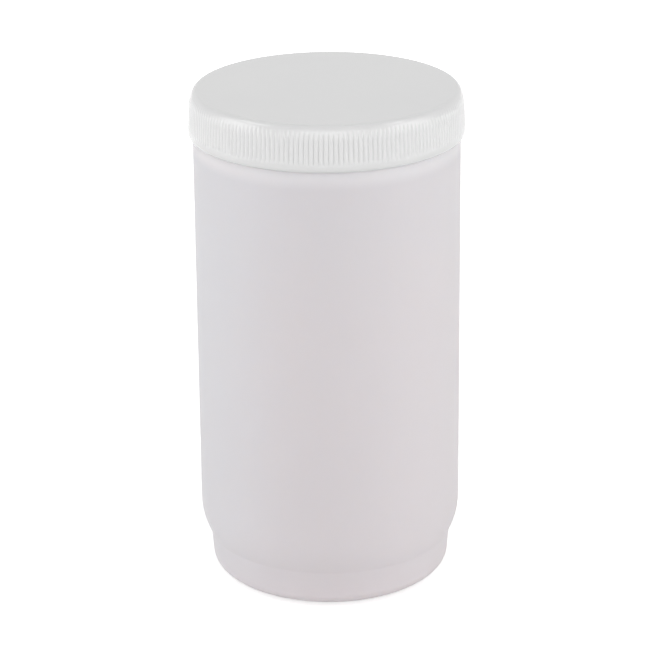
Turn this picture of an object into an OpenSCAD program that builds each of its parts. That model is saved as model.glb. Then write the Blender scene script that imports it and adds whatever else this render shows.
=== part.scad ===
// Wide-mouth, straight-sided plastic bottle with a ribbed screw cap and a foam liner.
// Millimetres. +Z is up, and the origin is the centre of the standing ring.

/* [Overall] */
// Height of the closed bottle above the surface it stands on
total_h = 172.2; // [160:0.1:190]

/* [Bottle body] */
// Outside diameter of the straight wall
body_d = 89.5; // [89.2:0.1:90.1]
// Thickness of the side wall
wall_t = 1.3; // [1:0.1:1.6]
// Thickness of the floor
floor_t = 1.8; // [1.4:0.1:2.4]
// Diameter of the recessed foot where the heel curve meets it
foot_low_d = 81.9; // [80:0.1:83]
// Diameter of the recessed foot at its upper edge
foot_high_d = 83.2; // [82:0.1:84.5]
// Height of the foot's upper edge, where the swell begins
foot_h = 13.9; // [12:0.1:16]
// Height at which the swell reaches the straight wall
swell_top_h = 25.5; // [22:0.1:30]
// Height of the heel curve
heel_h = 5.7; // [4:0.1:7]
// Inward reach of the heel curve
heel_w = 8; // [6:0.1:9]
// Width of the flat ring that the bottle stands on
ring_w = 3.2; // [2.4:0.1:4.4]
// Rise of the underside from the standing ring to the middle
push_up_h = 3.4; // [2.4:0.1:5]
// Height of the rounded shoulder
shoulder_h = 0.8; // [0.6:0.1:4]

/* [Neck finish] */
// Diameter over the crest of the neck thread
neck_crest_d = 88.7; // [88.4:0.1:88.8]
// Diameter of the neck between its threads
neck_root_d = 85.7; // [85.4:0.1:85.8]
// Diameter of the mouth
mouth_d = 82.4; // [81.8:0.1:83]
// Height of the neck from the shoulder to the rim
neck_h = 12.4; // [12.2:0.1:12.6]
// Rise of the thread in one turn, five turns to the inch
pitch = 5.08; // [4.9:0.01:5.2]
// Turns of thread on the neck
neck_turns = 1.15; // [1:0.01:1.2]
// Distance from the rim down to the top of the thread
thread_drop = 1.9; // [1.8:0.1:2.1]

/* [Cap] */
// Outside diameter of the cap at its lower edge
cap_d = 92.6; // [92.4:0.1:93.4]
// Height of the cap
cap_h = 15.4; // [14.3:0.1:15.6]
// Thickness of the cap's top
cap_top_t = 1.4; // [1.2:0.1:1.6]
// Diameter inside the cap between its threads
cap_bore_d = 89.5; // [89.4:0.1:89.7]
// Diameter across the crest of the cap thread
cap_crest_d = 86.5; // [86.4:0.1:86.8]
// Turns of thread in the cap
cap_turns = 1.22; // [1:0.01:1.3]
// Loss of outside radius from the lower edge to the start of the top curve
cap_draft = 0.45; // [0.3:0.05:0.6]
// Inward reach of the curve at the cap's top edge
crown_w = 2.7; // [2.2:0.1:3]
// Height of the curve at the cap's top edge
crown_h = 5.2; // [4.4:0.1:6]
// Number of grip ribs around the cap
rib_count = 180; // [120:12:192]
// Depth of the grooves between the ribs
groove_depth = 0.45; // [0.3:0.05:0.5]
// Height of the smooth band below the ribs
plain_band_h = 3.2; // [2:0.1:4]

/* [Liner] */
// Thickness of the liner, pressed between the rim and the cap
liner_t = 1; // [0.8:0.1:1.2]
// Diameter of the liner, wider than the crest of the cap thread that holds it in
liner_d = 87.2; // [87:0.1:87.4]

/* [Hidden] */
$fn = 180;

// Steps along a long curve and a short one
curve_steps = 8;
short_steps = 4;

// Angle between two rings of a thread sweep, and the angle over which each end runs out
thread_step = 6;
run_out = 36;
// Share of the full depth at a thread's very end, where it is sunk in the wall
end_share = -0.15;
// Depth that a thread reaches into the wall that carries it
thread_bite = 0.4;
// Free height between the loaded flanks of the closed cap and the neck
flank_gap = 0.25;
// Width of each thread where it leaves its wall and near its crest
neck_base_w = 2.6;
neck_crest_w = 1.1;
cap_base_w = 2.4;
cap_crest_w = 1;
// Where the rounding of a crest begins: the share of the depth, and of the loss in width
crest_round_share = 0.8;
crest_round_w = 0.3;

body_r = body_d / 2;
foot_low_r = foot_low_d / 2;
foot_high_r = foot_high_d / 2;
ring_out_r = foot_low_r - heel_w;
ring_in_r = ring_out_r - ring_w;
neck_root_r = neck_root_d / 2;
neck_crest_r = neck_crest_d / 2;
mouth_r = mouth_d / 2;
cap_r = cap_d / 2;
cap_bore_r = cap_bore_d / 2;
cap_crest_r = cap_crest_d / 2;

// Radius of the arc that swells from the foot to the straight wall, upright where it ends
swell_rise = swell_top_h - foot_h;
swell_reach = body_r - foot_high_r;
swell_r = (swell_rise * swell_rise + swell_reach * swell_reach) / (2 * swell_reach);
swell_angle = asin(swell_rise / swell_r);

// Angle short of upright at which the heel curve runs on into the leaning foot
foot_slope = (foot_high_r - foot_low_r) / (foot_h - heel_h);
heel_turn = atan(foot_slope * heel_h / heel_w);

cap_low_z = total_h - cap_h;
cap_under_z = total_h - cap_top_t;
rim_z = cap_under_z - liner_t;
neck_low_z = rim_z - neck_h;
shoulder_z = neck_low_z - shoulder_h;
shoulder_w = body_r - neck_root_r;
crown_z = total_h - crown_h;

// Mid-height of each thread at its lowest end, and the angle that it starts from
neck_thread_z = rim_z - thread_drop - neck_base_w / 2 - pitch * neck_turns;
neck_thread_start = 0;
mid_flank_w = (neck_base_w + neck_crest_w + cap_base_w + cap_crest_w) / 4;
cap_thread_start = 60;
cap_thread_z = neck_thread_z - mid_flank_w - flank_gap + pitch * cap_thread_start / 360;

// Roundings: the rim's outer edge, then reach and height of the cap's lower edge, outside and inside
rim_round = 0.5;
cap_edge_w = 1.1;
cap_edge_h = 1.3;
cap_inner_edge_w = 0.4;
cap_inner_edge_h = 1.2;
// Curve that draws the cap's inside in under its top
cap_corner_w = 0.8;
cap_corner_h = 3.6;
// Radius of the cutter that makes one groove between two ribs, and the angle of the first one
cutter_r = 0.38;
front_angle = 270.6;

// Inside of the bottle, and the step from the standing ring up to the shallow dome
inner_r = body_r - wall_t;
inner_heel_h = heel_h + 1;
underside_step_h = 1.4;
underside_step_w = 2.6;
underside_step_angle = 60;
dome_r = ring_in_r - underside_step_w;

// Points on an elliptical arc in the r-z half plane, from angle a to angle b
function arc_points(centre, half_w, half_h, a, b, steps) =
    [for (i = [0:steps])
        let (t = a + (b - a) * i / steps)
        [centre[0] + half_w * cos(t), centre[1] + half_h * sin(t)]];

// Outside of the bottle from the middle of the underside up to the rim's outer edge
function outer_profile() = concat(
    [[0, push_up_h]],
    [[dome_r, underside_step_h]],
    arc_points([dome_r, 0], underside_step_w, underside_step_h, underside_step_angle, 0,
               short_steps),
    arc_points([ring_out_r, heel_h], heel_w, heel_h, -90, -heel_turn, curve_steps),
    arc_points([body_r - swell_r, swell_top_h], swell_r, swell_r, -swell_angle, 0, curve_steps),
    arc_points([neck_root_r, shoulder_z], shoulder_w, shoulder_h, 0, 90, curve_steps),
    arc_points([neck_root_r - rim_round, rim_z - rim_round], rim_round, rim_round, 0, 90,
               short_steps));

// Inside of the bottle from the rim's inner edge down to the middle of the floor
function inner_profile() = concat(
    [[mouth_r, rim_z]],
    arc_points([mouth_r, shoulder_z - wall_t], inner_r - mouth_r, shoulder_h, 90, 0, curve_steps),
    arc_points([body_r - swell_r, swell_top_h], swell_r - wall_t, swell_r - wall_t,
               0, -swell_angle, curve_steps),
    arc_points([ring_out_r, inner_heel_h], heel_w - wall_t, inner_heel_h - floor_t,
               0, -90, curve_steps),
    [[ring_in_r, floor_t]],
    [[dome_r, underside_step_h + floor_t]],
    [[0, push_up_h + floor_t]]);

// Cross-section of a thread as [radius, height] pairs; side is 1 outside a neck, -1 inside a cap
function thread_section(root_r, crest_r, base_w, crest_w, side, share) =
    let (tip_r = root_r + (crest_r - root_r) * share,
         round_r = root_r + (crest_r - root_r) * share * crest_round_share,
         round_w = crest_w + (base_w - crest_w) * crest_round_w,
         buried_r = root_r - side * thread_bite)
    [[buried_r, -base_w / 2],
     [round_r, -round_w / 2],
     [tip_r, -crest_w / 4],
     [tip_r, crest_w / 4],
     [round_r, round_w / 2],
     [buried_r, base_w / 2]];

// A right-hand helical thread: its section is carried up the helix and runs out at both ends
module helical_thread(root_r, crest_r, base_w, crest_w, side, low_z, start, turns) {
    sweep = turns * 360;
    rings = ceil(sweep / thread_step);
    corners = 6;
    function share(a) = min(1, end_share + (1 - end_share) * min(a, sweep - a) / run_out);
    points = [for (i = [0:rings])
        let (a = sweep * i / rings)
        for (p = thread_section(root_r, crest_r, base_w, crest_w, side, share(a)))
            [p[0] * cos(start + a), p[0] * sin(start + a), low_z + pitch * a / 360 + p[1]]];
    sides = [for (i = [0:rings - 1], j = [0:corners - 1])
        let (p = i * corners + j,
             q = i * corners + (j + 1) % corners)
        each [[p, q, q + corners], [p, q + corners, p + corners]]];
    low_end = [for (j = [1:corners - 2]) [0, j + 1, j]];
    high_end = [for (j = [1:corners - 2]) [0, j, j + 1] + rings * corners * [1, 1, 1]];
    faces = concat(sides, low_end, high_end);
    flipped = [for (f = faces) [f[0], f[2], f[1]]];
    polyhedron(points = points, faces = side > 0 ? faces : flipped);
}

// Blow-moulded bottle: swelled wall over a recessed foot, push-up base, shoulder, threaded neck
module bottle_body() {
    color("#dcdadf") {
        rotate_extrude()
            polygon(concat(outer_profile(), inner_profile()));
        helical_thread(neck_root_r, neck_crest_r, neck_base_w, neck_crest_w, 1,
                       neck_thread_z, neck_thread_start, neck_turns);
    }
}

// Half section of the cap without its thread and grooves
function cap_profile() = concat(
    [[0, total_h]],
    arc_points([cap_r - cap_draft - crown_w, crown_z], crown_w, crown_h, 90, 0, curve_steps),
    arc_points([cap_r - cap_edge_w, cap_low_z + cap_edge_h], cap_edge_w, cap_edge_h, 0, -90,
               short_steps),
    arc_points([cap_bore_r + cap_inner_edge_w, cap_low_z + cap_inner_edge_h],
               cap_inner_edge_w, cap_inner_edge_h, -90, -180, short_steps),
    arc_points([cap_bore_r - cap_corner_w, cap_under_z - cap_corner_h],
               cap_corner_w, cap_corner_h, 0, 90, short_steps),
    [[0, cap_under_z]]);

// Cuts one groove between two ribs: a round cutter that leans in with the cap's draft
module rib_groove() {
    lean = atan(cap_draft / (cap_h - crown_h - cap_edge_h));
    translate([cap_r - groove_depth + cutter_r, 0, cap_low_z + plain_band_h])
        rotate([0, -lean, 0])
        cylinder(h = cap_h, r = cutter_r);
}

// Screw cap: flat top with a curved edge, ribbed skirt over a plain band, thread inside
module screw_cap() {
    color("#f4f4f4")
    difference() {
        union() {
            rotate_extrude()
                polygon(cap_profile());
            helical_thread(cap_bore_r, cap_crest_r, cap_base_w, cap_crest_w, -1,
                           cap_thread_z, cap_thread_start, cap_turns);
        }
        for (i = [0:rib_count - 1])
            rotate([0, 0, front_angle + 360 * i / rib_count])
            rib_groove();
    }
}

// Foam disc that lies loose under the cap's top and seals on the rim
module cap_liner() {
    color("#eeeeea")
    translate([0, 0, rim_z])
        cylinder(h = liner_t, d = liner_d);
}

bottle_body();
screw_cap();
cap_liner();
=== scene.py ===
import math

import bpy
import numpy as np
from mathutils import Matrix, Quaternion, Vector


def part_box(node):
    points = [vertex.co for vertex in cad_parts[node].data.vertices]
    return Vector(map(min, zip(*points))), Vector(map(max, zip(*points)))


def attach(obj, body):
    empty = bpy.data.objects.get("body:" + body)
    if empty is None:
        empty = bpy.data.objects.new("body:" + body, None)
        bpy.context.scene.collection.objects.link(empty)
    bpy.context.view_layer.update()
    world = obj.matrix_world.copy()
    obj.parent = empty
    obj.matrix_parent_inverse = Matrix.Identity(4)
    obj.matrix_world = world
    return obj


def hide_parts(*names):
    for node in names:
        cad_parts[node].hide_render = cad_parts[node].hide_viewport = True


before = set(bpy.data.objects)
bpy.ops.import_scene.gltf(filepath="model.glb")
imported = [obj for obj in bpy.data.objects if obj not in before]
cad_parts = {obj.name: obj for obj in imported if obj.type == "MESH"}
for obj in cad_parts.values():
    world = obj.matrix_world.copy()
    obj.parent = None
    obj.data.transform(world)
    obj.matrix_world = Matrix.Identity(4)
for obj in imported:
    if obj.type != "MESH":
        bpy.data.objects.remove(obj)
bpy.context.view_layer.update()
scene = bpy.context.scene
mm = 0.001
print("frame loaded:", ", ".join(sorted(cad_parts)))


# Camera: where it stands round the bottle, what it looks at and how it is framed
camera = {
    "distance": 1.0033,
    "elevation": 20.79,
    "aimHeight": 0.090,
    "lens": 161.4,
    "sensor": 36.0,
    "roll": -0.524,
    "shift": (-0.0015, -0.0137),
}


# A point on a sphere round the bottle: azimuth 0 is in front (-Y), 90 is to the right (+X)
def around(azimuth, elevation, distance, height):
    a, e = math.radians(azimuth), math.radians(elevation)
    direction = Vector((math.sin(a) * math.cos(e), -math.cos(a) * math.cos(e), math.sin(e)))
    return direction * distance + Vector((0, 0, height))


# Turns an object so that its -Z looks at a point at the given height over the origin
def aimAt(thing, height, roll=0.0):
    towards = Vector((0, 0, height)) - thing.location
    turn = towards.to_track_quat("-Z", "Y") @ Quaternion((0, 0, 1), math.radians(roll))
    thing.rotation_mode = "QUATERNION"
    thing.rotation_quaternion = turn


def placeCamera():
    data = bpy.data.cameras.new("camera")
    data.lens = camera["lens"]
    data.sensor_width = camera["sensor"]
    data.shift_x, data.shift_y = camera["shift"]
    eye = bpy.data.objects.new("camera", data)
    eye.location = around(0, camera["elevation"], camera["distance"], camera["aimHeight"])
    aimAt(eye, camera["aimHeight"], camera["roll"])
    scene.collection.objects.link(eye)
    scene.camera = eye


placeCamera()
print("camera placed")


# A number that varies over a surface: arithmetic on it adds Math nodes
class Value:
    def __init__(self, finish, socket):
        self.finish = finish
        self.socket = socket

    def maths(self, operation, first, second):
        return self.finish.node("ShaderNodeMath", {"operation": operation}, {0: first, 1: second})

    def __add__(self, other):
        return self.maths("ADD", self, other)

    def __radd__(self, other):
        return self.maths("ADD", other, self)

    def __sub__(self, other):
        return self.maths("SUBTRACT", self, other)

    def __rsub__(self, other):
        return self.maths("SUBTRACT", other, self)

    def __mul__(self, other):
        return self.maths("MULTIPLY", self, other)


# The node tree of a material or of the world while it is put together
class Finish:
    def __init__(self, owner):
        self.owner = owner
        owner.use_nodes = True
        self.tree = owner.node_tree
        self.tree.nodes.clear()

    # Any node: its settings are set first, then each socket takes a value or a link
    def node(self, kind, settings=None, sockets=None, output=0):
        made = self.tree.nodes.new(kind)
        for key, value in (settings or {}).items():
            setattr(made, key, value)
        for key, value in (sockets or {}).items():
            if isinstance(value, Value):
                self.tree.links.new(value.socket, made.inputs[key])
            else:
                made.inputs[key].default_value = value
        return Value(self, made.outputs[output]) if made.outputs else made

    # Noise in object coordinates: size is the width of one patch in metres
    def noise(self, size, detail, stretch=(1, 1, 1)):
        spot = self.node("ShaderNodeTexCoord", output="Object")
        if stretch != (1, 1, 1):
            spot = self.node("ShaderNodeMapping", sockets={"Vector": spot, "Scale": stretch})
        return self.node(
            "ShaderNodeTexNoise", sockets={"Vector": spot, "Scale": 1 / size, "Detail": detail}, output="Fac"
        )

    # 0 below low, 1 above high, smooth between them
    def step(self, value, low, high):
        return self.node(
            "ShaderNodeMapRange",
            {"interpolation_type": "SMOOTHSTEP"},
            {"Value": value, "From Min": low, "From Max": high},
        )

    # One colour turning into another as share goes from 0 to 1 (sockets 6 and 7 are the two colours)
    def blend(self, share, first, second):
        return self.node(
            "ShaderNodeMix",
            {"data_type": "RGBA"},
            {0: share, 6: first, 7: second},
            output=2,
        )

    # Object coordinate on one axis, in metres
    def along(self, axis):
        spot = self.node("ShaderNodeTexCoord", output="Object")
        return self.node("ShaderNodeSeparateXYZ", sockets={0: spot}, output=axis)

    # Relief in metres as a bump
    def relief(self, metres):
        return self.node("ShaderNodeBump", sockets={"Height": metres, "Strength": 1.0, "Distance": 1.0})

    def surface(self, shader):
        owner = "World" if isinstance(self.owner, bpy.types.World) else "Material"
        self.node(f"ShaderNodeOutput{owner}", sockets={"Surface": shader})
        return self.owner

    # 1 for rays that look at the backdrop directly, in a reflection or through glass
    def seen(self):
        kinds = ("Camera", "Glossy", "Transmission")
        rays = [self.node("ShaderNodeLightPath", output=f"Is {kind} Ray") for kind in kinds]
        return self.node(
            "ShaderNodeClamp", sockets={"Value": rays[0] + rays[1] + rays[2], "Min": 0.0, "Max": 1.0}
        )


# Studio: soft lamps round the bottle, a pale floor and even light from all sides
studio = {
    "ambient": 0.38,
    "aimHeight": 0.09,
    "lamps": {
        "leftSoftbox": {"azimuth": -80, "elevation": 12, "distance": 1.5, "size": (0.9, 1.3), "watts": 7.6},
        "rightSoftbox": {"azimuth": 72, "elevation": 12, "distance": 1.5, "size": (0.9, 1.3), "watts": 7.4},
        "frontSoftbox": {"azimuth": 0, "elevation": 14, "distance": 1.5, "size": (1.6, 1.4), "watts": 9.3},
        "backSoftbox": {
            "azimuth": 180,
            "elevation": 35,
            "distance": 1.5,
            "size": (1.2, 1.2),
            "watts": 5.2,
            "mirrored": False,  # the cap's flat top would show it
        },
        "leftSpark": {"azimuth": -83, "elevation": 49, "distance": 1.5, "size": (0.62, 0.25), "watts": 1.5},
        "rightSpark": {"azimuth": 78, "elevation": 49, "distance": 1.5, "size": (0.45, 0.25), "watts": 1.3},
    },
}
floor = {
    "radius": 4.0,
    "below": 0.0002,
    "thick": 0.01,
    "rings": 24,
    "sides": 96,
    "colour": (0.80, 0.80, 0.80, 1),
    "glowNear": 0.58,  # glow that only the camera and mirrored rays see, round the bottle and far off
    "glowFar": 1.0,
    "fadeFrom": 0.15,
    "fadeTo": 0.8,
}


def hangLamps():
    for name, lamp in studio["lamps"].items():
        data = bpy.data.lights.new(name, "AREA")
        data.shape = "RECTANGLE"
        data.size, data.size_y = lamp["size"]
        data.energy = lamp["watts"]
        thing = bpy.data.objects.new(name, data)
        thing.location = around(lamp["azimuth"], lamp["elevation"], lamp["distance"], studio["aimHeight"])
        thing.visible_camera = False
        thing.visible_glossy = lamp.get("mirrored", True)
        aimAt(thing, studio["aimHeight"])
        scene.collection.objects.link(thing)


def lightWorld():
    world = bpy.data.worlds.new("studioAir")
    finish = Finish(world)
    level = studio["ambient"]
    air = finish.node("ShaderNodeBackground", sockets={"Color": (level, level, level, 1), "Strength": 1.0})
    white = finish.node("ShaderNodeBackground", sockets={"Color": (1, 1, 1, 1), "Strength": 1.0})
    finish.surface(finish.node("ShaderNodeMixShader", sockets={0: finish.seen(), 1: air, 2: white}))
    scene.world = world


def floorPaint():
    finish = Finish(bpy.data.materials.new("paleFloor"))
    spot = finish.node("ShaderNodeTexCoord", output="Object")
    away = finish.node("ShaderNodeVectorMath", {"operation": "LENGTH"}, {0: spot}, output="Value")
    far = finish.step(away, floor["fadeFrom"], floor["fadeTo"])
    glow = (floor["glowNear"] + far * (floor["glowFar"] - floor["glowNear"])) * finish.seen()
    matt = finish.node("ShaderNodeBsdfDiffuse", sockets={"Color": floor["colour"]})
    lit = finish.node("ShaderNodeEmission", sockets={"Color": (1, 1, 1, 1), "Strength": glow})
    return finish.surface(finish.node("ShaderNodeAddShader", sockets={0: matt, 1: lit}))


# Smooth step: 3 t^2 - 2 t^3 with t held between 0 and 1
def smoothStep(t):
    t = np.clip(t, 0, 1)
    return t * t * (3 - 2 * t)


# Points on an elliptical arc in the r-z plane: centre plus half axes times cosine and sine of the angle
def arcPoints(centre, halfAxes, fromAngle, toAngle, steps):
    t = np.radians(np.linspace(fromAngle, toAngle, steps + 1))
    return np.column_stack([centre[0] + halfAxes[0] * np.cos(t), centre[1] + halfAxes[1] * np.sin(t)])


# Evenly spaced points on a straight stretch
def linePoints(start, end, steps):
    return np.linspace(start, end, steps + 1)


# A rounded corner: the quadratic curve (1-t)^2 a + 2 t (1-t) corner + t^2 b
def bendPoints(start, corner, end, steps):
    t = np.linspace(0, 1, steps + 1)[:, None]
    return (1 - t) ** 2 * np.array(start) + 2 * t * (1 - t) * np.array(corner) + t**2 * np.array(end)


# Stretches of a profile in one array, without the points that two neighbours share
def joined(*stretches):
    points = np.vstack(stretches)
    apart = np.linalg.norm(np.diff(points, axis=0), axis=1) > 1e-6
    return points[np.append(True, apart)]


# Thread relief over its wall: depth times a rounded bump of the distance from a helix that rises one
# pitch a turn; the bump (1 - t^3)^2 has a fillet at its foot, and it runs out smoothly at both ends
def threadRelief(thread, angles, heights):
    sweep = thread["turns"] * 360
    relief = np.zeros(np.broadcast(angles, heights).shape)
    for turn in range(math.ceil(thread["turns"])):
        along = (angles - thread["start"]) % 360 + 360 * turn
        share = smoothStep(np.minimum(along, sweep - along) / thread["runOut"])
        middle = thread["lowZ"] + thread["pitch"] * along / 360
        across = np.clip(np.abs(heights - middle) / (thread["width"] / 2), 0, 1)
        relief = np.maximum(relief, thread["depth"] * share * (1 - across**3) ** 2)
    return relief


# Faces between two closed rings of vertex numbers: quads where both have as many, and where one has
# more, a fan of triangles on each edge of the coarser ring
def facesBetween(lower, upper):
    if len(lower) == len(upper):
        return [np.column_stack([lower, np.roll(lower, -1), np.roll(upper, -1), upper])]
    coarse, fine = sorted((lower, upper), key=len)
    share = len(fine) // len(coarse)
    fans = fine.reshape(-1, share)
    fans = np.column_stack([fans, np.roll(fans[:, 0], -1)])
    following = np.roll(coarse, -1)
    tips = [(fans[:, i], fans[:, i + 1], coarse if i < share // 2 else following) for i in range(share)]
    tips.append((fans[:, share // 2], following, coarse))
    order = (0, 1, 2) if fine is lower else (1, 0, 2)
    return [np.column_stack([tip[k] for k in order]) for tip in tips]


sharpAngle = math.radians(50)  # edges that bend more than this are shaded sharp


# A closed piece turned round the Z axis: each section is a grid (radius, height, angle) of rings, the
# sections follow one another along the profile, and a point on the axis closes each end
def turnedPiece(name, sections, poles):
    points, rings, faces = [], [], []
    count = 0
    for radius, height, angles in sections:
        radius, height, turn = np.broadcast_arrays(radius, height, np.radians(angles))
        grid = np.stack([radius * np.cos(turn), radius * np.sin(turn), height], axis=-1)
        numbers = count + np.arange(grid.shape[0] * grid.shape[1]).reshape(grid.shape[:2])
        count = numbers[-1, -1] + 1
        points.append(grid.reshape(-1, 3))
        rings.extend(numbers)
    points.append([(0, 0, poles[0]), (0, 0, poles[1])])
    for lower, upper in zip(rings, rings[1:]):
        faces.extend(facesBetween(lower, upper))
    first, last = rings[0], rings[-1]
    faces.append(np.column_stack([np.full_like(first, count), np.roll(first, -1), first]))
    faces.append(np.column_stack([np.full_like(last, count + 1), last, np.roll(last, -1)]))
    mesh = bpy.data.meshes.new(name)
    mesh.from_pydata((np.vstack(points) * mm).tolist(), [], [f for block in faces for f in block.tolist()])
    mesh.update()
    mesh.shade_smooth()
    mesh.set_sharp_from_angle(angle=sharpAngle)
    piece = bpy.data.objects.new(name, mesh)
    scene.collection.objects.link(piece)
    return piece


# A CAD node's box in millimetres
def nodeBox(node):
    return [np.array(corner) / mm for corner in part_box(node)]


def layFloor():
    radii = np.linspace(0, 1, floor["rings"] + 1)[1:, None] ** 2 * floor["radius"] / mm
    angles = np.arange(floor["sides"])[None, :] * 360 / floor["sides"]
    topZ = -floor["below"] / mm
    lowZ = topZ - floor["thick"] / mm
    top = (np.flip(radii), np.full_like(radii, topZ), angles)
    under = (radii, np.full_like(radii, lowZ), angles)
    slab = turnedPiece("floor", [under, top], (lowZ, topZ))
    slab.data.materials.append(floorPaint())


hangLamps()
lightWorld()
layFloor()
print("studio lit, floor laid")


# Moulded bottle: the outside runs from the middle of the underside up to the rim, the inside back down
bottle = {
    "wall": 1.3,
    "floor": 1.8,
    "footLowR": 40.95,  # the foot widens a little from the heel up to the swell
    "footHighR": 41.6,
    "footH": 13.9,
    "swellTopH": 25.5,
    "heelH": 5.7,  # curve from the wall of the foot down to the standing ring
    "heelW": 8.0,
    "innerHeelH": 6.7,
    "ringW": 3.2,  # flat ring that the bottle stands on
    "pushUp": 3.4,  # height of the underside's dome in its middle
    "stepH": 1.4,  # smooth step from the standing ring up to the dome
    "stepW": 2.6,
    "shoulderH": 0.8,
    "shoulderTurn": 78,  # degrees of its arc, from the wall to the fillet of the neck
    "neckR": 42.85,
    "mouthR": 41.2,
    "neckH": 12.4,
    "rimRound": 0.5,
    "rimInnerRound": 0.3,
    "neckFillet": 0.4,
    "footFillet": 0.45,
    "poleR": 1.0,  # innermost ring of the inside
    "threadRows": 60,
    "columns": 288,
    "besideSeam": (0.1, 0.2, 0.35, 0.5, 0.7),  # degrees from the mould line to the extra columns
    # the fine line where the two halves of the mould met, on both sides and across the base
    "seamRise": 0.07,
    "seamHalfW": 0.4,
    "pinchRise": 0.35,
    "pinchHalfW": 0.7,
    "pinchHalfLength": 21.0,
    "pinchFade": 3.0,
}
# What the two threads share, then the neck's own: its upper edge lies the drop below the rim
thread = {"pitch": 5.08, "runOut": 36.0, "depth": 1.5}
neckThread = dict(thread, turns=1.15, start=0.0, width=2.5, drop=1.9, baseW=2.6)


# Angles of the columns: even steps, and finer ones beside the mould line at 0 and 180 degrees
def bottleAngles():
    even = np.arange(bottle["columns"]) * 360 / bottle["columns"]
    beside = np.array(bottle["besideSeam"])
    seams = [beside, 360 - beside, 180 - beside, 180 + beside]
    return np.unique(np.round(np.concatenate([even, *seams]), 6))[None, :]


def bottleProfile(bodyR, rimZ):
    b = bottle
    neckLowZ = rimZ - b["neckH"]
    shoulderZ = neckLowZ - b["shoulderH"]
    ringOutR = b["footLowR"] - b["heelW"]
    ringInR = ringOutR - b["ringW"]
    domeR = ringInR - b["stepW"]
    rise, reach = b["swellTopH"] - b["footH"], bodyR - b["footHighR"]
    swellR = (rise**2 + reach**2) / (2 * reach)
    swellAngle = math.degrees(math.asin(rise / swellR))
    swellCentre = (bodyR - swellR, b["swellTopH"])
    domeRadii = np.linspace(0, domeR, 15)[1:]
    domeRise = (b["pushUp"] - b["stepH"]) * (1 - (domeRadii / domeR) ** 2)
    dome = np.column_stack([domeRadii, b["stepH"] + domeRise])
    stepRadii = np.linspace(domeR, ringInR, 11)
    stepDown = np.column_stack([stepRadii, b["stepH"] * (1 - smoothStep((stepRadii - domeR) / b["stepW"]))])
    footSlope = (b["footHighR"] - b["footLowR"]) / (b["footH"] - b["heelH"])
    heelTurn = math.degrees(math.atan(footSlope * b["heelH"] / b["heelW"]))
    heel = arcPoints((ringOutR, b["heelH"]), (b["heelW"], b["heelH"]), -90, -heelTurn, 24)
    swell = arcPoints(swellCentre, (swellR, swellR), -swellAngle, 0, 18)
    footTop = (b["footHighR"], b["footH"])
    shoulderAxes = (bodyR - b["neckR"], b["shoulderH"])
    shoulder = arcPoints((b["neckR"], shoulderZ), shoulderAxes, 0, b["shoulderTurn"], 12)
    neckStart = neckLowZ + b["neckFillet"]
    rimEdge = rimZ - b["rimRound"]
    outside = joined(
        dome,
        stepDown,
        linePoints((ringInR, 0), (ringOutR, 0), 4),
        heel,
        linePoints(heel[-1], (b["footHighR"], b["footH"] - b["footFillet"]), 6),
        bendPoints((b["footHighR"], b["footH"] - b["footFillet"]), footTop, swell[1], 5),
        swell[1:],
        linePoints((bodyR, b["swellTopH"]), (bodyR, shoulderZ), 26),
        shoulder,
        bendPoints(shoulder[-1], (b["neckR"], neckLowZ), (b["neckR"], neckStart), 4),
        linePoints((b["neckR"], neckStart), (b["neckR"], rimEdge), b["threadRows"]),
        arcPoints((b["neckR"] - b["rimRound"], rimEdge), (b["rimRound"], b["rimRound"]), 0, 90, 6),
        linePoints((b["neckR"] - b["rimRound"], rimZ), (b["mouthR"] + b["rimInnerRound"], rimZ), 3),
    )
    innerR = bodyR - b["wall"]
    curveZ = shoulderZ - b["wall"]
    rim = b["rimInnerRound"]
    heelTop = b["innerHeelH"]
    inside = joined(
        arcPoints((b["mouthR"] + rim, rimZ - rim), (rim, rim), 90, 180, 4),
        linePoints((b["mouthR"], rimZ - rim), (b["mouthR"], curveZ + b["shoulderH"]), 6),
        arcPoints((b["mouthR"], curveZ), (innerR - b["mouthR"], b["shoulderH"]), 90, 0, 12),
        linePoints((innerR, curveZ), (innerR, b["swellTopH"]), 14),
        arcPoints(swellCentre, (swellR - b["wall"], swellR - b["wall"]), 0, -swellAngle, 12),
        arcPoints((ringOutR, heelTop), (b["heelW"] - b["wall"], heelTop - b["floor"]), 0, -90, 12),
        linePoints((ringOutR, b["floor"]), (ringInR, b["floor"]), 2),
        linePoints((ringInR, b["floor"]), (domeR, b["stepH"] + b["floor"]), 4),
        linePoints((domeR, b["stepH"] + b["floor"]), (b["poleR"], b["pushUp"] + b["floor"]), 8),
    )
    return outside, inside, domeR, neckLowZ


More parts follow.
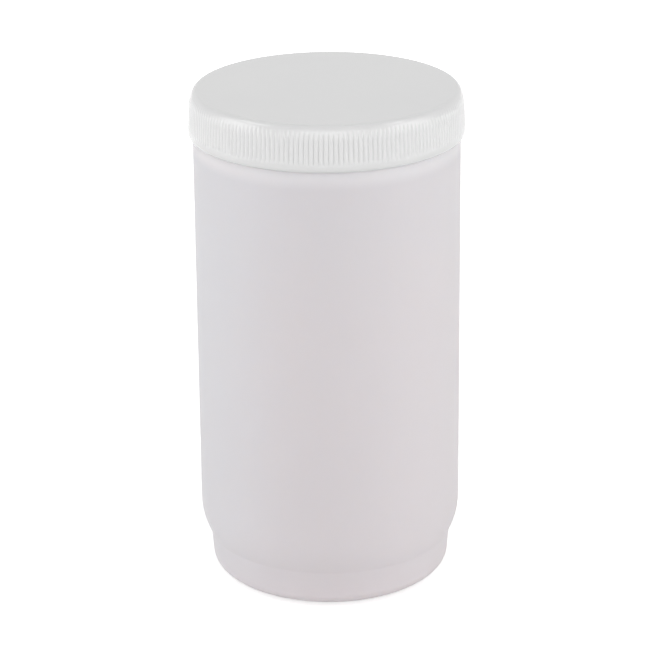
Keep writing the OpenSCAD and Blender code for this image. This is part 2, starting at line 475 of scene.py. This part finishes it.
def mouldBottle():
    b = bottle
    low, high = nodeBox("bottle_body")
    bodyR, rimZ = high[0], high[2]
    outside, inside, domeR, neckLowZ = bottleProfile(bodyR, rimZ)
    neckThread["lowZ"] = (
        rimZ - neckThread["drop"] - neckThread["baseW"] / 2 - neckThread["pitch"] * neckThread["turns"]
    )
    angles = bottleAngles()
    profile = joined(outside, inside)
    outer = (np.arange(len(profile)) < len(outside))[:, None]
    radius, height = profile[:, :1], profile[:, 1:]
    onNeck = outer & (height > neckLowZ)
    onWall = outer & (height > b["heelH"]) & ~onNeck
    onBase = outer & (radius < domeR)
    across = radius * np.abs(np.sin(np.radians(angles)))
    alongBase = radius * np.abs(np.cos(np.radians(angles)))
    seam = b["seamRise"] * (1 - smoothStep(across / b["seamHalfW"]))
    pinch = b["pinchRise"] * (1 - smoothStep(across / b["pinchHalfW"]))
    pinch = pinch * (1 - smoothStep((alongBase - b["pinchHalfLength"]) / b["pinchFade"]))
    fullRadius = radius + onNeck * threadRelief(neckThread, angles, height) + onWall * seam
    fullHeight = height - onBase * pinch
    poles = (b["pushUp"] - b["pinchRise"], b["pushUp"] + b["floor"])
    return turnedPiece("moulded_bottle", [(fullRadius, fullHeight, angles)], poles)


# Natural polyethylene: milky, faintly mauve, satin, with the long streaks and fine grain of blow moulding
bottlePlastic = {
    "cool": (0.758, 0.744, 0.774, 1),
    "warm": (0.795, 0.742, 0.760, 1),
    # the tone of the painted shade low down, and of the scuffs on the standing ring
    "shadeAndScuff": (0.744, 0.680, 0.699, 1),
    # painted light: the shoulder and neck are painted paler, lifting the shade under the cap's edge and
    # standing in for the soft highlight on the shoulder
    "thick": (0.865, 0.825, 0.845, 1),
    "shoulderPaintedLightFrom": (0.1500, 0.1545),  # heights over which the shoulder and neck take on the painted light tone
    "coolSide": (-0.042, -0.008),  # X from the cool side to the warm one
    "coolTop": (0.10, 0.155),
    "coolTopShare": 0.45,
    "paintedShadeTops": (0.03, 0.13),  # heights up to which the foot and the lower wall carry painted shade, darker towards the bottom
    "paintedShadeShare": 0.22,
    "roughness": 0.50,
    "specular": 0.08,
    "subsurface": 1.0,
    "scatterRadius": (1.0, 0.95, 0.9),
    "scatterDepth": 0.0025,
    "scuffTop": 0.0012,
    "scuffFrom": (0.45, 0.7),
    # what each pattern adds: width of a patch, share in the tint, in the roughness and depth of its relief
    "cloud": {"size": 0.045, "tint": 0.4, "rough": 0.08},
    "streak": {"size": 0.004, "tint": 0.15, "rough": 0.06, "depth": 0.000006},
    "scuff": {"size": 0.0012, "tint": 0.2, "rough": 0.25, "depth": 0.00001},
    "grain": {"size": 0.00035, "depth": 0.000012},
    "peel": {"size": 0.006, "depth": 0.00002},
    "streakStretch": (1, 1, 0.03),
}


def paintBottle():
    p = bottlePlastic
    finish = Finish(bpy.data.materials.new("naturalPolyethylene"))
    clouds, streaks, scuffs = p["cloud"], p["streak"], p["scuff"]
    cloud = finish.noise(clouds["size"], detail=3)
    streak = finish.noise(streaks["size"], detail=3, stretch=p["streakStretch"])
    grain = finish.noise(p["grain"]["size"], detail=2)
    peel = finish.noise(p["peel"]["size"], detail=1)
    height, side = finish.along("Z"), finish.along("X")
    # painted shade: darker towards the foot and over the lower wall
    foot, lowWall = [(1 - finish.step(height, 0.0, top)) * p["paintedShadeShare"] for top in p["paintedShadeTops"]]
    scuff = finish.step(finish.noise(scuffs["size"], detail=4), *p["scuffFrom"])
    scuff = (1 - finish.step(height, 0.0, p["scuffTop"])) * scuff
    warmth = finish.step(side, *p["coolSide"]) * (1 - finish.step(height, *p["coolTop"]) * p["coolTopShare"])
    warmth = warmth + (cloud - 0.5) * clouds["tint"] + (streak - 0.5) * streaks["tint"]
    tint = finish.blend(warmth, p["cool"], p["warm"])
    # painted light: the shoulder and neck turn paler
    tint = finish.blend(finish.step(height, *p["shoulderPaintedLightFrom"]), tint, p["thick"])
    # the painted shade low down and the real scuffs both darken towards one tone
    colour = finish.blend(foot + lowWall + scuff * scuffs["tint"], tint, p["shadeAndScuff"])
    roughness = p["roughness"] + (cloud - 0.5) * clouds["rough"] + (streak - 0.5) * streaks["rough"]
    roughness = roughness + scuff * scuffs["rough"]
    uneven = grain * p["grain"]["depth"] + peel * p["peel"]["depth"]
    bump = finish.relief(uneven + streak * streaks["depth"] + scuff * scuffs["depth"])
    shader = finish.node(
        "ShaderNodeBsdfPrincipled",
        {"subsurface_method": "RANDOM_WALK"},
        {
            "Base Color": colour,
            "Roughness": roughness,
            "Normal": bump,
            "IOR": 1.54,
            "Specular IOR Level": p["specular"],
            "Subsurface Weight": p["subsurface"],
            "Subsurface Radius": p["scatterRadius"],
            "Subsurface Scale": p["scatterDepth"],
        },
    )
    return finish.surface(shader)


# Ribbed cap: the inside runs from under the top down to the lower edge, the outside back up
cap = {
    "topT": 1.4,
    "boreR": 44.75,
    "draft": 0.45,  # loss of radius from the lower edge up to the crown
    "crownW": 2.7,  # curve of the top edge
    "crownH": 5.2,
    "edgeW": 1.1,  # curves of the lower edge, outside and inside
    "edgeH": 1.3,
    "innerEdgeW": 0.4,
    "innerEdgeH": 1.2,
    "cornerW": 0.8,  # curve that draws the inside in under the top
    "cornerH": 3.6,
    "ribs": 180,
    "frontAngle": 270.6,  # angle of one groove
    "grooveDepth": 0.37,
    "grooveHalfW": 0.80,
    "grooveFrom": 2.0,  # heights over the lower edge at which a groove begins and is full
    "grooveFull": 4.0,
    "grooveFade": 5.4,  # height over which a groove dies away, and how far under the crown that starts
    "fadeBelow": 0.5,
    "coarseColumns": 360,
    "columnsPerRib": 8,
    "landW": 0.02,  # flat on the lower edge, where the fine columns begin
    "fineTopW": 0.3,  # flat beside the crown, where they end, and where the coarse ones begin again
    "coarseTopW": 1.2,
    "poleR": 2.0,  # innermost ring of the top
    "threadRows": 46,
}
# The cap's own thread, which lies below the neck's by the given height
capThread = dict(thread, turns=1.22, start=60.0, width=2.3, below=2.025)


# Groove relief: round ribs that meet in a narrow valley, depth times (1 - t)^3 with t the distance from
# the valley's line in groove half widths; it begins smoothly over the plain band and dies away in the crown
def grooveRelief(angles, height, radius, lowZ, crownZ):
    c = cap
    pitch = 360 / c["ribs"]
    offAngle = (angles - c["frontAngle"] + pitch / 2) % pitch - pitch / 2
    across = np.clip(np.abs(np.radians(offAngle)) * radius / c["grooveHalfW"], 0, 1)
    begin = smoothStep((height - lowZ - c["grooveFrom"]) / (c["grooveFull"] - c["grooveFrom"]))
    end = 1 - smoothStep((height - crownZ + c["fadeBelow"]) / c["grooveFade"])
    return c["grooveDepth"] * (1 - across) ** 3 * begin * end


def mouldCap():
    c = cap
    low, high = nodeBox("screw_cap")
    capR, lowZ, topZ = high[0], low[2], high[2]
    underZ, crownZ = topZ - c["topT"], topZ - c["crownH"]
    capThread["lowZ"] = neckThread["lowZ"] - capThread["below"] + thread["pitch"] * capThread["start"] / 360
    coarse = np.arange(c["coarseColumns"])[None, :] * 360 / c["coarseColumns"] + c["frontAngle"]
    fineCount = c["ribs"] * c["columnsPerRib"]
    fine = np.arange(fineCount)[None, :] * 360 / fineCount + c["frontAngle"]
    cornerR = c["boreR"] - c["cornerW"]
    cornerZ = underZ - c["cornerH"]
    innerZ = lowZ + c["innerEdgeH"]
    inside = joined(
        linePoints((c["poleR"], underZ), (cornerR, underZ), 8),
        arcPoints((cornerR, cornerZ), (c["cornerW"], c["cornerH"]), 90, 0, 10),
        linePoints((c["boreR"], cornerZ), (c["boreR"], innerZ), c["threadRows"]),
        arcPoints((c["boreR"] + c["innerEdgeW"], innerZ), (c["innerEdgeW"], c["innerEdgeH"]), 180, 270, 8),
    )
    edgeR, edgeZ = capR - c["edgeW"], lowZ + c["edgeH"]
    fromZ, fullZ = lowZ + c["grooveFrom"], lowZ + c["grooveFull"]
    skirtTop = (capR - c["draft"], crownZ)
    topR = skirtTop[0] - c["crownW"]

    # radius of the skirt's straight line at a height
    def skirtAt(z):
        return capR - c["draft"] * (z - edgeZ) / (crownZ - edgeZ)

    outside = joined(
        linePoints((edgeR - c["landW"], lowZ), (edgeR, lowZ), 1),
        arcPoints((edgeR, edgeZ), (c["edgeW"], c["edgeH"]), -90, 0, 10),
        linePoints((capR, edgeZ), (skirtAt(fromZ), fromZ), 1),
        linePoints((skirtAt(fromZ), fromZ), (skirtAt(fullZ), fullZ), 8),
        linePoints((skirtAt(fullZ), fullZ), skirtTop, 4),
        arcPoints((topR, crownZ), (c["crownW"], c["crownH"]), 0, 90, 18),
        linePoints((topR, topZ), (topR - c["fineTopW"], topZ), 1),
    )
    top = linePoints((topR - c["coarseTopW"], topZ), (c["poleR"], topZ), 8)
    insideR, insideZ = inside[:, :1], inside[:, 1:]
    insideR = insideR - threadRelief(capThread, coarse, insideZ)
    outR, outZ = outside[:, :1], outside[:, 1:]
    grooved = outR - grooveRelief(fine, outZ, outR, lowZ, crownZ)
    sections = [(insideR, insideZ, coarse), (grooved, outZ, fine), (top[:, :1], top[:, 1:], coarse)]
    return turnedPiece("ribbed_cap", sections, (underZ, topZ))


# White polypropylene: satin, with the very fine grain of an etched mould
capPlastic = {
    "pale": (0.759, 0.759, 0.758, 1),
    "shade": (0.749, 0.749, 0.751, 1),
    # painted shade: the plain band below the ribs is painted a tone darker than the skirt
    "band": (0.706, 0.706, 0.706, 1),
    "bandTop": (0.1585, 0.1612),  # heights over which the band's painted shade gives way to the skirt's tone
    "shadeFrom": (0.3, 0.7),
    "roughness": 0.18,
    "specular": 0.88,
    "cloud": {"size": 0.03, "rough": 0.08},
    "flow": {"size": 0.008, "rough": 0.06, "depth": 0.000008},
    "grain": {"size": 0.00025, "depth": 0.000008},
}


def paintCap():
    p = capPlastic
    finish = Finish(bpy.data.materials.new("whitePolypropylene"))
    cloud = finish.noise(p["cloud"]["size"], detail=3)
    grain = finish.noise(p["grain"]["size"], detail=2)
    flow = finish.noise(p["flow"]["size"], detail=2)
    skirt = finish.blend(finish.step(cloud, *p["shadeFrom"]), p["pale"], p["shade"])
    # painted shade on the plain band below the ribs
    colour = finish.blend(finish.step(finish.along("Z"), *p["bandTop"]), p["band"], skirt)
    roughness = p["roughness"] + (cloud - 0.5) * p["cloud"]["rough"] + (flow - 0.5) * p["flow"]["rough"]
    bump = finish.relief(grain * p["grain"]["depth"] + flow * p["flow"]["depth"])
    shader = finish.node(
        "ShaderNodeBsdfPrincipled",
        sockets={
            "Base Color": colour,
            "Roughness": roughness,
            "Normal": bump,
            "IOR": 1.5,
            "Specular IOR Level": p["specular"],
        },
    )
    return finish.surface(shader)


# Foam liner: a disc whose lower face keeps the ring that the rim has pressed into it
liner = {
    "bulge": 0.14,  # how far the foam stands out beside the pressed ring
    "pressSoft": 0.35,  # width of the ring's soft edges
    "pressInR": 41.2,
    "pressOutR": 42.85,
    "topGap": 0.02,
    "round": 0.15,
    "poleR": 2.0,  # innermost ring of each face
    "columns": 240,
}


def punchLiner():
    n = liner
    low, high = nodeBox("cap_liner")
    edgeR, lowZ, topZ = high[0], low[2], high[2] - n["topGap"]
    angles = np.arange(n["columns"])[None, :] * 360 / n["columns"]
    radii = np.concatenate(
        [
            np.linspace(n["poleR"], n["pressInR"] - 2 * n["pressSoft"], 12),
            np.linspace(n["pressInR"] - n["pressSoft"], n["pressOutR"] + n["pressSoft"], 18),
            [edgeR - n["round"]],
        ]
    )
    pressed = smoothStep((radii - n["pressInR"]) / n["pressSoft"] + 1)
    pressed = pressed * (1 - smoothStep((radii - n["pressOutR"]) / n["pressSoft"]))
    below = np.column_stack([radii, lowZ - n["bulge"] * (1 - pressed)])
    roundZ = below[-1, 1] + n["round"]
    profile = joined(
        below,
        arcPoints((edgeR - n["round"], roundZ), (n["round"], n["round"]), -90, 0, 4),
        arcPoints((edgeR - n["round"], topZ - n["round"]), (n["round"], n["round"]), 0, 90, 4),
        linePoints((edgeR - n["round"], topZ), (n["poleR"], topZ), 6),
    )
    return turnedPiece("foam_liner", [(profile[:, :1], profile[:, 1:], angles)], (lowZ - n["bulge"], topZ))


# Expanded polyethylene foam: matt, full of fine closed cells
linerFoam = {
    "pale": (0.835, 0.835, 0.812, 1),
    "shade": (0.775, 0.775, 0.745, 1),
    "roughness": 0.82,
    "specular": 0.3,
    "shadeFrom": (0.25, 0.75),
    "cell": {"size": 0.0005, "tint": 0.6, "depth": 0.00003},
    "cloud": {"size": 0.006, "tint": 0.5, "rough": 0.1, "depth": 0.00002},
}


def paintLiner():
    p = linerFoam
    finish = Finish(bpy.data.materials.new("polyethyleneFoam"))
    cell, clouds = p["cell"], p["cloud"]
    spot = finish.node("ShaderNodeTexCoord", output="Object")
    cells = finish.node(
        "ShaderNodeTexVoronoi", sockets={"Vector": spot, "Scale": 1 / cell["size"]}, output="Distance"
    )
    cloud = finish.noise(clouds["size"], detail=3)
    shaded = finish.step(cells * cell["tint"] + cloud * clouds["tint"], *p["shadeFrom"])
    colour = finish.blend(shaded, p["pale"], p["shade"])
    bump = finish.relief((1 - cells) * cell["depth"] + cloud * clouds["depth"])
    shader = finish.node(
        "ShaderNodeBsdfPrincipled",
        sockets={
            "Base Color": colour,
            "Roughness": p["roughness"] + (cloud - 0.5) * clouds["rough"],
            "Normal": bump,
            "Specular IOR Level": p["specular"],
        },
    )
    return finish.surface(shader)


# Each new piece, what paints it, the body it rides on, the solid it stands for and its material slot
pieces = [
    (mouldBottle, paintBottle, "bottle", "bottle_body", "bottle_plastic"),
    (mouldCap, paintCap, "cap", "screw_cap", "cap_plastic"),
    (punchLiner, paintLiner, "liner", "cap_liner", "liner_foam"),
]
for make, paint, body, node, slot in pieces:
    piece = make()
    piece.data.materials.append(paint())
    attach(piece, body)
    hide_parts(node)
    print(piece.name, "made:", len(piece.data.polygons), "faces")

scene.view_settings.view_transform = "Standard"
